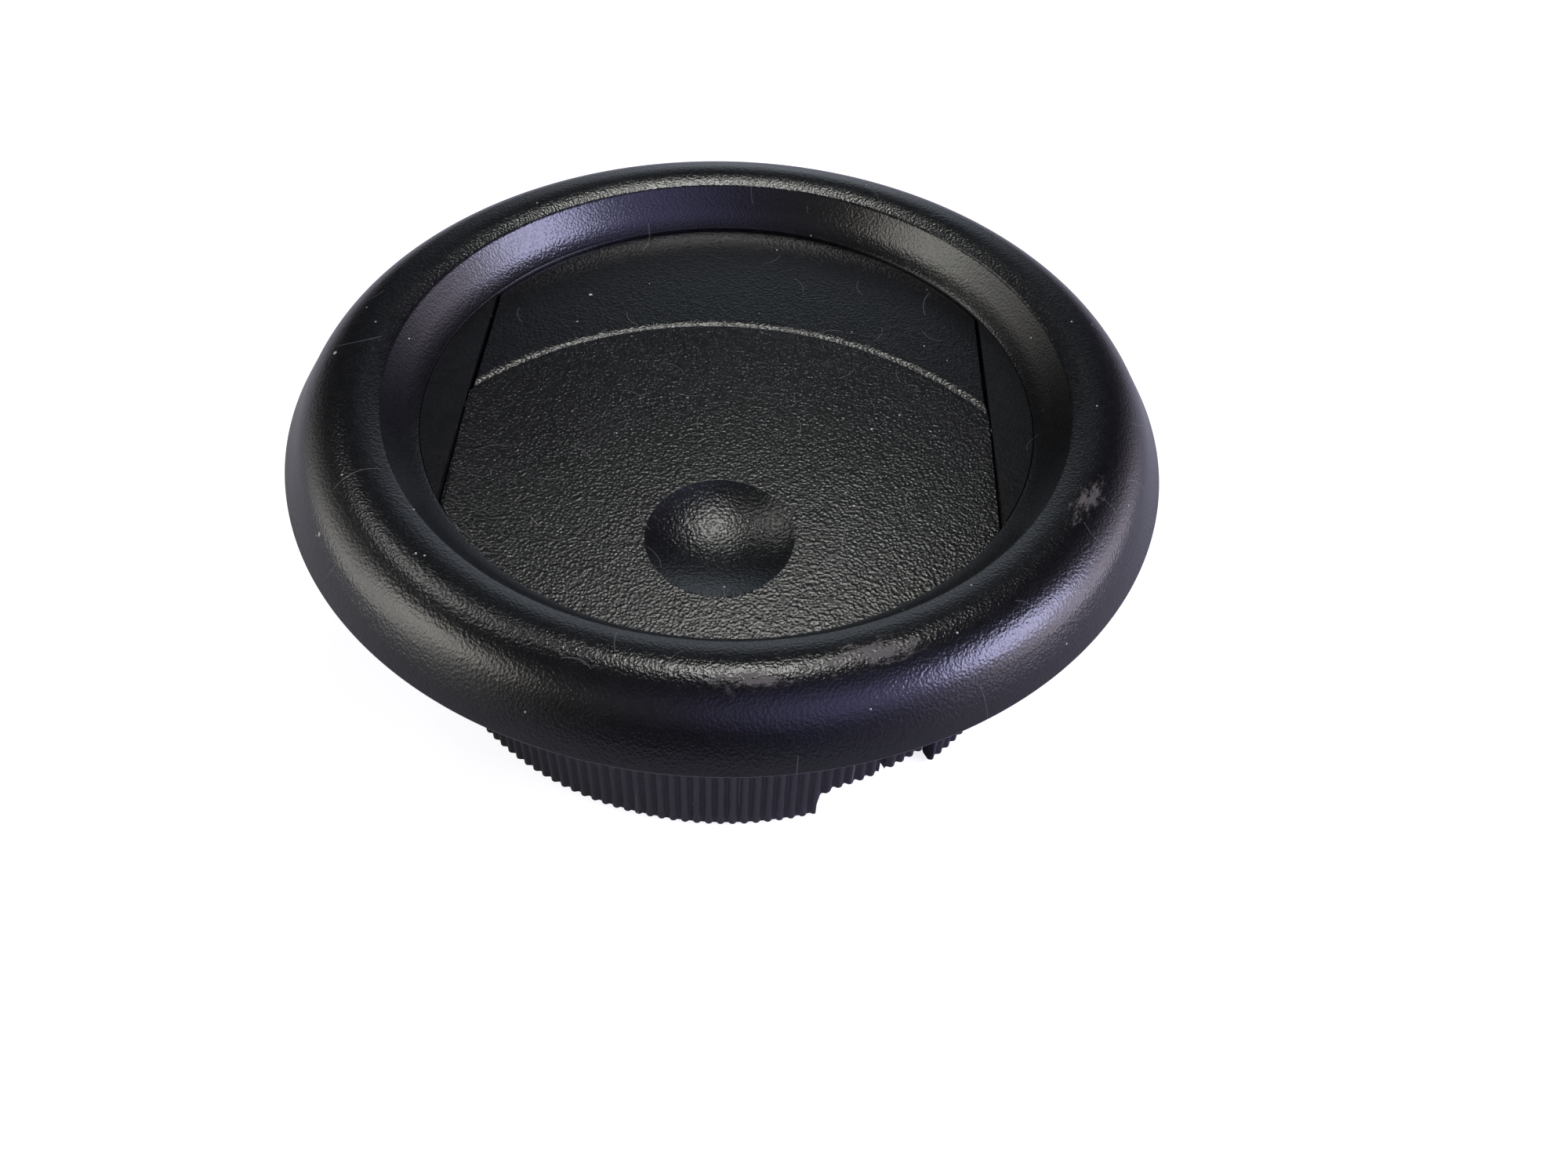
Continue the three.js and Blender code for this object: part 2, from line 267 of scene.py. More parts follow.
def blackPlastic(name, look):
    mat = bpy.data.materials.new(name)
    mat.use_nodes = True
    tree = mat.node_tree
    shader = tree.nodes["Principled BSDF"]
    coords = addNode(tree, "ShaderNodeTexCoord", (-1500, 0)).outputs["Object"]

    # moulded grain: small rounded cells with a finer crackle in them
    cells = addNode(tree, "ShaderNodeTexVoronoi", (-1200, -300), feature="SMOOTH_F1")
    cells.inputs["Scale"].default_value = look["grainPerMetre"]
    cells.inputs["Smoothness"].default_value = 0.6
    bend = noiseNode(tree, coords, look["grainPerMetre"] * marks["bendShare"], 2, 0.5, (-1400, -300))
    shifted = addNode(tree, "ShaderNodeVectorMath", (-1300, -300), operation="MULTIPLY_ADD")
    tree.links.new(bend.outputs["Color"], shifted.inputs[0])
    shifted.inputs[1].default_value = marks["bendBy"]
    tree.links.new(coords, shifted.inputs[2])
    tree.links.new(shifted.outputs[0], cells.inputs["Vector"])
    crackle = noiseNode(tree, coords, look["grainPerMetre"] * marks["crackleShare"], 3, 0.6, (-1200, -500))
    height = mathNode(tree, "MULTIPLY_ADD", crackle.outputs["Fac"], look["crackle"], (-1000, -400))
    height.node.inputs[2].default_value = 0.0
    tree.links.new(cells.outputs["Distance"], height.node.inputs[2])

    # large soft patches where hands have polished the grain down
    polish = noiseNode(tree, coords, marks["wornPerMetre"], 3, 0.55, (-1200, 300))
    worn = rampNode(tree, polish.outputs["Fac"], [(0.38, (0, 0, 0)), (0.66, (1, 1, 1))], (-1000, 300))

    # hair scratches: one short bent line of its own direction in some of the cells
    scratchMask = None
    for row, (scale, length, width, kept) in enumerate(marks["hairs"]):
        x, y = -2600, 700 + 600 * row
        cell = addNode(tree, "ShaderNodeTexVoronoi", (x, y), feature="F1")
        cell.inputs["Scale"].default_value = scale
        tree.links.new(coords, cell.inputs["Vector"])
        local = addNode(tree, "ShaderNodeVectorMath", (x + 200, y), operation="SUBTRACT")
        tree.links.new(coords, local.inputs[0])
        tree.links.new(cell.outputs["Position"], local.inputs[1])
        parts = addNode(tree, "ShaderNodeSeparateColor", (x + 200, y - 200))
        tree.links.new(cell.outputs["Color"], parts.inputs[0])
        angle = mathNode(tree, "MULTIPLY", parts.outputs[0], marks["fullTurn"], (x + 300, y - 300))
        turned = addNode(tree, "ShaderNodeVectorRotate", (x + 400, y), rotation_type="Z_AXIS")
        tree.links.new(local.outputs[0], turned.inputs["Vector"])
        tree.links.new(angle, turned.inputs["Angle"])
        axes = addNode(tree, "ShaderNodeSeparateXYZ", (x + 600, y))
        tree.links.new(turned.outputs[0], axes.inputs[0])
        square = mathNode(tree, "POWER", axes.outputs[0], 2.0, (x + 700, y - 100))
        bow = mathNode(tree, "MULTIPLY", square, scale * marks["bow"], (x + 800, y - 100))
        offLine = mathNode(tree, "SUBTRACT", axes.outputs[1], bow, (x + 900, y))
        across = mathNode(tree, "ABSOLUTE", offLine, 0.0, (x + 1000, y))
        along = mathNode(tree, "ABSOLUTE", axes.outputs[0], 0.0, (x + 800, y + 100))
        thin = mathNode(tree, "LESS_THAN", across, width / scale, (x + 1100, y))
        short = mathNode(tree, "LESS_THAN", along, length / scale, (x + 1100, y + 100))
        some = mathNode(tree, "LESS_THAN", parts.outputs[1], kept, (x + 1100, y - 200))
        line = mathNode(tree, "MULTIPLY", thin, short, (x + 1200, y))
        line = mathNode(tree, "MULTIPLY", line, some, (x + 1300, y))
        scratchMask = line if row == 0 else mathNode(tree, "MAXIMUM", scratchMask, line, (-750, 800))

    # dust: sparse tiny specks of a few sizes
    dustMask = None
    for row, (scale, size) in enumerate(marks["specks"]):
        x, y = -1200, 1200 + 200 * row
        specks = addNode(tree, "ShaderNodeTexVoronoi", (x, y), feature="F1")
        specks.inputs["Scale"].default_value = scale
        tree.links.new(coords, specks.inputs["Vector"])
        keep = addNode(tree, "ShaderNodeSeparateColor", (x + 200, y - 100))
        tree.links.new(specks.outputs["Color"], keep.inputs[0])
        near = mathNode(tree, "LESS_THAN", specks.outputs["Distance"], size, (x + 200, y))
        some = mathNode(tree, "GREATER_THAN", keep.outputs[0], 1 - look["dust"], (x + 350, y - 100))
        spot = mathNode(tree, "MULTIPLY", near, some, (x + 500, y))
        dustMask = spot if row == 0 else mathNode(tree, "MAXIMUM", dustMask, spot, (-600, 1300))

    tone = noiseNode(tree, coords, marks["tonePerMetre"], 4, 0.6, (-1200, 100))
    shade = rampNode(tree, tone.outputs["Fac"], [(0.3, look["colour"]), (0.75, look["pale"])], (-1000, 100))
    marked = mixColour(tree, mathNode(tree, "MULTIPLY", scratchMask, look["scratch"], (-600, 700)),
                       shade.outputs["Color"], marks["scratchColour"], (-500, 500))
    dusty = mixColour(tree, mathNode(tree, "MULTIPLY", dustMask, 0.75, (-450, 900)), marked,
                      marks["dustColour"], (-300, 500))
    rough = mathNode(tree, "MULTIPLY_ADD", worn.outputs["Color"], -look["polish"], (-700, 200))
    rough.node.inputs[2].default_value = look["roughness"]
    mottled = mathNode(tree, "MULTIPLY_ADD", tone.outputs["Fac"], 0.03, (-600, 100))
    tree.links.new(rough, mottled.node.inputs[2])
    dustRough = mathNode(tree, "MULTIPLY", dustMask, 0.8, (-450, 1000))
    rough = mathNode(tree, "MAXIMUM", mottled, dustRough, (-300, 200))
    if look.get("scuffs"):
        scuffed = None
        for spot in look["scuffs"]:
            away = addNode(tree, "ShaderNodeVectorMath", (-1500, -900), operation="SUBTRACT")
            tree.links.new(coords, away.inputs[0])
            away.inputs[1].default_value = [v * mm for v in spot["at"]]
            turned = addNode(tree, "ShaderNodeVectorRotate", (-1300, -900), rotation_type="Z_AXIS")
            tree.links.new(away.outputs[0], turned.inputs["Vector"])
            turned.inputs["Angle"].default_value = -math.radians(spot["along"])
            shape = addNode(tree, "ShaderNodeVectorMath", (-1100, -900), operation="DIVIDE")
            tree.links.new(turned.outputs[0], shape.inputs[0])
            shape.inputs[1].default_value = [v * mm for v in spot["size"]]
            reach = addNode(tree, "ShaderNodeVectorMath", (-900, -900), operation="LENGTH")
            tree.links.new(shape.outputs[0], reach.inputs[0])
            fade = mathNode(tree, "SUBTRACT", 1.0, reach.outputs["Value"], (-750, -900), clamp=True)
            streak = addNode(tree, "ShaderNodeVectorMath", (-1100, -1100), operation="MULTIPLY")
            tree.links.new(turned.outputs[0], streak.inputs[0])
            streak.inputs[1].default_value = marks["scuffStreak"]
            drag = noiseNode(tree, streak.outputs[0], 1, 5, 0.75, (-900, -1100))
            amount = mathNode(tree, "MULTIPLY_ADD", fade, 0.32, (-600, -900))
            tree.links.new(drag.outputs["Fac"], amount.node.inputs[2])
            sharp = rampNode(tree, amount, [(0.66, (0, 0, 0)), (0.80, (1, 1, 1))], (-450, -900))
            inside = mathNode(tree, "MULTIPLY", sharp.outputs["Color"],
                              mathNode(tree, "MULTIPLY", fade, 3.0, (-450, -1100), clamp=True), (-200, -900))
            scuffed = inside if scuffed is None else mathNode(tree, "MAXIMUM", scuffed, inside, (-100, -900))
        dusty = mixColour(tree, mathNode(tree, "MULTIPLY", scuffed, 0.55, (0, -900)), dusty,
                          marks["scuffColour"], (100, 500))
        scuffRough = mathNode(tree, "MULTIPLY", scuffed, 0.5, (0, -1000))
        rough = mathNode(tree, "MAXIMUM", rough, scuffRough, (100, 200))
    tree.links.new(dusty, shader.inputs["Base Color"])
    tree.links.new(rough, shader.inputs["Roughness"])

    bump = addNode(tree, "ShaderNodeBump", (-300, -300))
    bump.inputs["Strength"].default_value = look["bump"]
    bump.inputs["Distance"].default_value = look["bumpDepth"] * mm
    tree.links.new(height, bump.inputs["Height"])
    dent = addNode(tree, "ShaderNodeBump", (-100, -300), invert=True)
    dent.inputs["Strength"].default_value = marks["dent"]
    dent.inputs["Distance"].default_value = marks["dentDepth"] * mm
    tree.links.new(scratchMask, dent.inputs["Height"])
    tree.links.new(bump.outputs[0], dent.inputs["Normal"])
    tree.links.new(dent.outputs[0], shader.inputs["Normal"])
    shader.inputs["IOR"].default_value = look["ior"]
    return mat


grained = {"colour": (0.0022, 0.0023, 0.0026), "pale": (0.0048, 0.0049, 0.0052), "roughness": 0.215,
           "polish": 0.02, "grainPerMetre": 2900, "crackle": 0.3, "bump": 0.56, "bumpDepth": 0.08, "dust": 0.02,
           "scratch": 0.4, "ior": 1.47}
rimLook = {**grained, "roughness": 0.21, "polish": 0.03, "grainPerMetre": 3300, "bump": 0.4, "scuffs": [
    # place, half sizes along, across and up in mm, and direction in degrees
    {"at": (15, -40.5, 35.2), "size": (10, 2.6, 8), "along": 20},
    {"at": (4, -44, 35.2), "size": (7, 1.8, 8), "along": 5},
    {"at": (38.5, -19, 35.2), "size": (6, 2.2, 8), "along": 62}]}
insertLook = {**grained, "roughness": 0.26, "bump": 0.3}
sleeveLook = {**grained, "colour": (0.008, 0.0075, 0.0082), "pale": (0.016, 0.0145, 0.016), "roughness": 0.48,
              "bump": 0.3, "scratch": 0.7, "dust": 0.03}


def pinSteel():
    mat = bpy.data.materials.new("drawnSteel")
    mat.use_nodes = True
    tree = mat.node_tree
    shader = tree.nodes["Principled BSDF"]
    coords = addNode(tree, "ShaderNodeTexCoord", (-900, 0)).outputs["Object"]
    mapping = addNode(tree, "ShaderNodeMapping", (-700, 0))
    mapping.inputs["Scale"].default_value = (300, 9000, 9000)
    tree.links.new(coords, mapping.inputs["Vector"])
    drawn = noiseNode(tree, mapping.outputs[0], 1, 3, 0.6, (-500, 0))
    tint = rampNode(tree, drawn.outputs["Fac"], [(0.3, (0.42, 0.42, 0.43)), (0.7, (0.64, 0.64, 0.65))],
                    (-300, 100))
    tree.links.new(tint.outputs["Color"], shader.inputs["Base Color"])
    rough = mathNode(tree, "MULTIPLY_ADD", drawn.outputs["Fac"], 0.25, (-300, -100))
    rough.node.inputs[2].default_value = 0.18
    tree.links.new(rough, shader.inputs["Roughness"])
    shader.inputs["Metallic"].default_value = 1
    bump = addNode(tree, "ShaderNodeBump", (-200, -300))
    bump.inputs["Strength"].default_value = 0.2
    bump.inputs["Distance"].default_value = 0.01 * mm
    tree.links.new(drawn.outputs["Fac"], bump.inputs["Height"])
    tree.links.new(bump.outputs[0], shader.inputs["Normal"])
    return mat


def finishPiece(obj, mat, body, nodes):
    obj.data.materials.clear()
    obj.data.materials.append(mat)
    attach(obj, body)
    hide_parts(*nodes)


rim = {"seat": rimLow.z / mm, "top": rimHigh.z / mm, "outer": rimHigh.x / mm, "crest": 42.5, "crestArc": 7.1,
       "outerSlope": 60, "innerSlope": 18, "brim": 14, "brimSlope": 21.5, "shoulder": 0.8, "wallSlope": 56,
       "cove": 8, "lipSlope": 35, "lip": 35.76, "lipUnder": 28.9, "seatIn": 48.4, "steps": 360,
       # the underside from the lip's root out to the seat
       "hollow": [(37.95, 28.9), (37.95, 30.6), (38.6, 31.6), (40.4, 33.4), (41.6, 33.7), (43, 33.75),
                  (44.4, 33.4), (45.6, 32.6), (46.5, 31.8), (47.1, 31.0)],
       # snap hooks that reach in under the sleeve's bead
       "hooks": 6, "hookX": (40.65, 42.2), "hookHalf": 4, "hookTop": 33.9, "toe": 39.75, "toeZ": (28.9, 29.35)}


def bendOn(profile, radius, slope, steeper, n):
    # goes on from the end of a profile, bending it from one downward slope to a steeper one
    x, z = profile[-1]
    t = math.radians(slope)
    cx, cz = x + radius * math.sin(t), z - radius * math.cos(t)
    return arcPoints(cx, cz, radius, 90 + slope, 90 + steeper, n)[1:]


def rimProfile():
    crest = arcPoints(rim["crest"], rim["top"] - rim["crestArc"], rim["crestArc"],
                      90 - rim["outerSlope"], 90 + rim["innerSlope"], 30)
    brim = bendOn(crest, rim["brim"], rim["innerSlope"], rim["brimSlope"], 6)
    shoulder = bendOn(brim, rim["shoulder"], rim["brimSlope"], rim["wallSlope"], 8)
    lip = math.radians(rim["lipSlope"])
    plateZ = plateTop / mm
    cove = arcPoints(rim["lip"] - rim["cove"] * math.sin(lip), plateZ + rim["cove"] * math.cos(lip),
                     rim["cove"], rim["wallSlope"] - 90, rim["lipSlope"] - 90, 12)
    foot = arcPoints(rim["outer"] - 0.3, rim["seat"] + 0.3, 0.3, -90, 20, 5)
    lipEdge = arcPoints(rim["lip"] + 0.1, plateZ - 0.03, 0.1, 122, 180, 5)
    under = [(rim["lip"], rim["lipUnder"])] + rim["hollow"] + [(rim["seatIn"], rim["seat"])]
    return foot + crest + brim + shoulder + cove[:-1] + lipEdge + under


def makeRim():
    bm = bmesh.new()
    spin(bm, rimProfile(), rim["steps"])
    for i in range(rim["hooks"]):
        hook = bmesh.new()
        width = (-rim["hookHalf"], rim["hookHalf"])
        brick(hook, rim["hookX"], width, (rim["toeZ"][0], rim["hookTop"]), 0.15)
        brick(hook, (rim["toe"], rim["hookX"][0] + 0.2), width, rim["toeZ"], 0.12)
        bmesh.ops.rotate(hook, verts=hook.verts, cent=(0, 0, 0),
                         matrix=Matrix.Rotation(math.radians(30 + i * 360 / rim["hooks"]), 3, "Z"))
        mesh = bpy.data.meshes.new("hook")
        hook.to_mesh(mesh)
        hook.free()
        bm.from_mesh(mesh)
        bpy.data.meshes.remove(mesh)
    return makeObject("rim_shell", bm, 40, False)


rimShell = makeRim()
finishPiece(rimShell, blackPlastic("rimPlastic", rimLook), "housing", ["rim"])
print("rim made")


sleeve = {"radius": 39.6, "bore": 37.6, "shelf": 28.6, "ribs": 180, "ribDepth": 0.4, "neck": (38.3, 39.4),
          "neckTop": 30.7, "bead": 40.3, "beadZ": (29.9, 30.7), "ledge": 35.4, "ledgeZ": (20.9, 22.2),
          # angles in degrees; each slit is its angle and its width
          "notches": 3, "notchAt": 30, "notchHalf": 11.8, "notchHigh": 5.3, "corner": 2.5,
          "slitTop": 19.4, "slits": ((30, 0.8), (40.6, 1.4))}


def ribbed(angle, radius, height):
    # only the outer wall below the neck carries ribs, and they fade out at the foot's chamfer
    if radius < sleeve["radius"] - 0.5 or height > sleeve["shelf"] + 0.05:
        return radius
    wave = 0.5 - 0.5 * math.cos(angle * sleeve["ribs"])
    return radius - sleeve["ribDepth"] * wave ** 1.6


def makeSleeve():
    s = sleeve
    r = s["radius"]
    profile = [(s["bore"], 0.3), (s["bore"] + 0.3, 0), (r - 0.7, 0), (r - 0.42, 0.25), (r, 0.8),
               (r, s["shelf"] - 0.5), (r - 0.1, s["shelf"]), (s["neck"][1], s["shelf"] + 0.1),
               (s["neck"][1], s["beadZ"][0] - 0.4),
               (s["bead"], s["beadZ"][0]), (s["bead"], s["beadZ"][1] - 0.4), (s["neck"][1], s["beadZ"][1]),
               (s["neck"][0], s["neckTop"]), (s["neck"][0], s["shelf"]),
               (s["bore"], s["shelf"]), (s["bore"], s["ledgeZ"][1] + 0.2), (s["bore"] - 0.2, s["ledgeZ"][1]),
               (s["ledge"] + 0.2, s["ledgeZ"][1]), (s["ledge"], s["ledgeZ"][1] - 0.2),
               (s["ledge"], s["ledgeZ"][0] + 0.6), (s["bore"], s["ledgeZ"][0] - 1.0)]
    bm = bmesh.new()
    spin(bm, profile, s["ribs"] * 8, ribbed)
    tube = makeObject("ribbed_sleeve", bm, 50, False)

    cut = bmesh.new()
    half = r * math.sin(math.radians(s["notchHalf"]))
    notch = [(-half, -1), (half, -1)]
    notch += arcPoints(half - s["corner"], s["notchHigh"] - s["corner"], s["corner"], 0, 90, 10)
    notch += arcPoints(s["corner"] - half, s["notchHigh"] - s["corner"], s["corner"], 90, 180, 10)
    for i in range(s["notches"]):
        turn = 360 * i / s["notches"] - 90
        shapes = [(notch, turn + s["notchAt"])]
        for at, width in s["slits"]:
            w = width / 2
            top = arcPoints(0, s["slitTop"] - w, w, 0, 180, 8)
            shapes.append(([(-w, -1), (w, -1)] + top, turn + at))
        for points, angle in shapes:
            before = set(cut.verts)
            sideShape(cut, points, s["bore"] - 3, r + 3)
            new = [v for v in cut.verts if v not in before]
            bmesh.ops.rotate(cut, verts=new, cent=(0, 0, 0),
                             matrix=Matrix.Rotation(math.radians(angle), 3, "Z"))
    cutter = makeObject("cutter", cut, 30, False)
    boolean(tube, cutter, "DIFFERENCE", 50, True)
    return tube


sleeveTube = makeSleeve()
finishPiece(sleeveTube, blackPlastic("sleevePlastic", sleeveLook), "housing", ["sleeve"])
print("sleeve made")


carrier = {"ringIn": 35.95, "ringOut": 37.3, "low": 22.5, "high": 28.6, "chord": 30.8, "visibleChord": 30.76,
           "visibleSegment": 35.71, "under": 27, "edge": 0.06, "flapThick": 1.8, "restGap": 0.3, "rearTop": 30.2,
           "cheek": 1.8, "cheekY": (-11, 12.5), "cheekLow": carrierLow.z / mm,
           # stops: how far they reach in, the sloped one's two ends along Y, the ledge along Y and down
           "stop": 1.8, "stopSlope": 45, "stopY": (4.2, 9.4), "ledgeY": (7, 12), "ledgeDeep": 3}


def segmentLoop(radius, chord):
    end = math.degrees(math.acos(chord / radius))
    return [Vector(p) for p in arcPoints(0, 0, radius, -end, end, 60)]


def makeCarrier():
    c = carrier
    top = plateTop / mm
    axis = hinge.z / mm
    bm = bmesh.new()
    spin(bm, [(c["ringIn"], c["low"] + 0.15), (c["ringIn"] + 0.15, c["low"]), (c["ringOut"] - 0.15, c["low"]),
              (c["ringOut"], c["low"] + 0.15), (c["ringOut"], c["high"] - 0.15),
              (c["ringOut"] - 0.15, c["high"]), (c["ringIn"], c["high"])], 240)
    for side in (1, -1):
        part = bmesh.new()
        loop = segmentLoop(c["visibleSegment"], c["visibleChord"])
        plate(part, loop, c["under"], top, [("round", c["edge"], c["edge"])] * len(loop), 0.1, 4, 0.1)
        loop = segmentLoop(c["ringOut"] - 0.05, c["chord"])
        plate(part, loop, c["under"] + 0.02, c["high"] - 0.02, [("round", 0.1, 0.1)] * len(loop), 0.1, 2, 0.1)
        brick(part, (c["chord"] + 0.02, c["chord"] + c["cheek"]), c["cheekY"],
              (c["cheekLow"], c["under"] + 1), 0.2)
        # the sloped stop is for the open flap, the ledge for the shut one
        drop = top - c["flapThick"] - axis
        clear = (drop - c["restGap"]) / math.cos(math.radians(c["stopSlope"]))
        near, far = c["stopY"]
        sideShape(part, [(-near, axis - near + clear), (-far, axis - far + clear), (-far, c["cheekLow"]),
                         (-near, c["cheekLow"] + 2)], c["chord"] - c["stop"], c["chord"] + 0.5)
        ledge = c["rearTop"] - c["flapThick"] - c["restGap"]
        brick(part, (c["chord"] - c["stop"], c["chord"] + 0.5), c["ledgeY"],
              (ledge - c["ledgeDeep"], ledge), 0.15)
        if side < 0:
            bmesh.ops.scale(part, verts=part.verts, vec=(-1, 1, 1))
            bmesh.ops.reverse_faces(part, faces=part.faces)
        mesh = bpy.data.meshes.new("side")
        part.to_mesh(mesh)
        part.free()
        bm.from_mesh(mesh)
        bpy.data.meshes.remove(mesh)
    return makeObject("insert_carrier", bm, 32, True)


insertCarrier = makeCarrier()
finishPiece(insertCarrier, blackPlastic("insertPlastic", insertLook), "insert", ["carrier"])
print("carrier made")


flap = {"radius": 35.35, "rearRadius": 35.68, "half": 30.66, "rearHalf": 30.42, "thick": 1.8,
        "rearTop": 30.2, "slope": 4, "arc": 42, "apex": 13.1, "corner": 1.6,
        # edges give their kind, how far in and how far down; the roll is narrower at the arc's ends
        "sideEdge": ("round", 0.14, 0.14), "arcEdge": ("round", 0.06, 0.06),
        "rollRadius": 3.1, "rollWidth": (1.7, 2.9), "dimpleY": -20.4, "dimple": 8.05, "dimpleDeep": 1.7,
        "dimpleEdge": 0.22, "boss": 2.2, "bossIn": 22,
        # ribs under the plates, the thick strip that joins the plates, and the web along the axis
        "stiffener": 12, "ribHalf": 0.6, "ribBelow": 0.9, "ribFrontY": (-28, 3), "ribRearY": (0, 29),
        "joinX": (-29.6, 29.6), "joinY": (-4, 11), "webHalf": 0.7}


def frontLoop():
    f = flap
    cy = f["apex"] - f["arc"]
    seam = math.degrees(math.asin(f["half"] / f["radius"]))
    cornerX = f["half"] - f["corner"]
    reach = math.sqrt((f["arc"] - f["corner"]) ** 2 - cornerX ** 2)
    tangent = math.degrees(math.atan2(reach, cornerX))
    pts = [(p, f["sideEdge"]) for p in arcPoints(0, 0, f["radius"], -90 - seam, -90 + seam, 150)]
    pts += [(p, f["sideEdge"]) for p in arcPoints(cornerX, cy + reach, f["corner"], 0, tangent, 8)]
    pts += [(p, f["arcEdge"]) for p in arcPoints(0, cy, f["arc"], tangent, 180 - tangent, 150)[1:-1]]
    pts += [(p, f["sideEdge"]) for p in arcPoints(-cornerX, cy + reach, f["corner"], 180 - tangent, 180, 8)]
    return [Vector(p) for p, e in pts], [e for p, e in pts]


def rearPlate(bm):
    # drawn as sections across the flap; its front side rolls down along the arc, wider in the middle
    f = flap
    cy = f["apex"] - f["arc"]
    arc = f["arc"] - 0.05
    bottom = f["rearTop"] - f["thick"]
    edge = f["sideEdge"][1]
    near, far = f["rollWidth"]
    spots = [(-f["rearHalf"] + edge * (1 - math.cos(math.radians(t))), edge * (1 - math.sin(math.radians(t))))
             for t in (0, 22.5, 45, 67.5)]
    spots += [((f["rearHalf"] - edge) * i / 75, 0) for i in range(-75, 76)]
    spots += [(-x, drop) for x, drop in reversed(spots[:4])]
    rows = []
    for x, lower in spots:
        front = cy + math.sqrt(arc * arc - x * x)
        width = near + (far - near) * max(0, min(1, front / f["apex"]))
        section = []
        for i in range(16, -1, -1):
            across, drop = inset("roll", i / 16, width, f["rollRadius"])
            section.append((cy + math.sqrt((arc + across) ** 2 - x * x), f["rearTop"] - max(lower, drop)))
        back = math.sqrt(f["rearRadius"] ** 2 - x * x)
        for t in (90, 60, 30, 0):
            t = math.radians(t)
            drop = max(lower, edge * (1 - math.sin(t)))
            section.append((back - edge * (1 - math.cos(t)), f["rearTop"] - drop))
        section += [(back, bottom + 0.2), (back - 0.2, bottom + lower),
                    (front + 0.2, bottom + lower), (front, bottom + 0.2)]
        rows.append([bm.verts.new((x * mm, y * mm, z * mm)) for y, z in section])
    n = len(rows[0])
    for one, two in zip(rows, rows[1:]):
        for i in range(n):
            k = (i + 1) % n
            bm.faces.new((one[i], two[i], two[k], one[k]))
    bm.faces.new(rows[0])
    bm.faces.new(list(reversed(rows[-1])))


def dimpleBowl():
    # the bowl's section from its lowest point outwards, ending in a small round lip
    f = flap
    ball = (f["dimple"] ** 2 + f["dimpleDeep"] ** 2) / (2 * f["dimpleDeep"])
    centre = plateTop / mm - f["dimpleDeep"] + ball
    slope = math.degrees(math.asin(f["dimple"] / ball))
    bowl = arcPoints(0, centre, ball, -90, -90 + slope, 24)
    bx, bz = bowl[-1]
    s = math.radians(slope)
    e = f["dimpleEdge"]
    lip = arcPoints(bx + e * math.sin(s), bz - e * math.cos(s), e, 90 + slope, 90, 5)
    lip = [(x, z + (math.cos(s) - 1) * e + e - e * math.cos(s)) for x, z in lip]
    shift = plateTop / mm - lip[-1][1]
    return bowl, [(x, z + shift) for x, z in lip], ball, centre


def bowlTool(profile, tip):
    bm = bmesh.new()
    steps = 160
    ring = [(math.cos(2 * math.pi * i / steps), math.sin(2 * math.pi * i / steps)) for i in range(steps)]
    rows = [[bm.verts.new((r * c * mm, (flap["dimpleY"] + r * d) * mm, z * mm)) for c, d in ring]
            for r, z in profile]
    for one, two in zip(rows, rows[1:]):
        for i in range(steps):
            k = (i + 1) % steps
            bm.faces.new((one[i], one[k], two[k], two[i]))
    point = bm.verts.new((0, flap["dimpleY"] * mm, tip * mm))
    for i in range(steps):
        bm.faces.new((point, rows[0][(i + 1) % steps], rows[0][i]))
    bm.faces.new(rows[-1])
    return makeObject("tool", bm, 40, False)


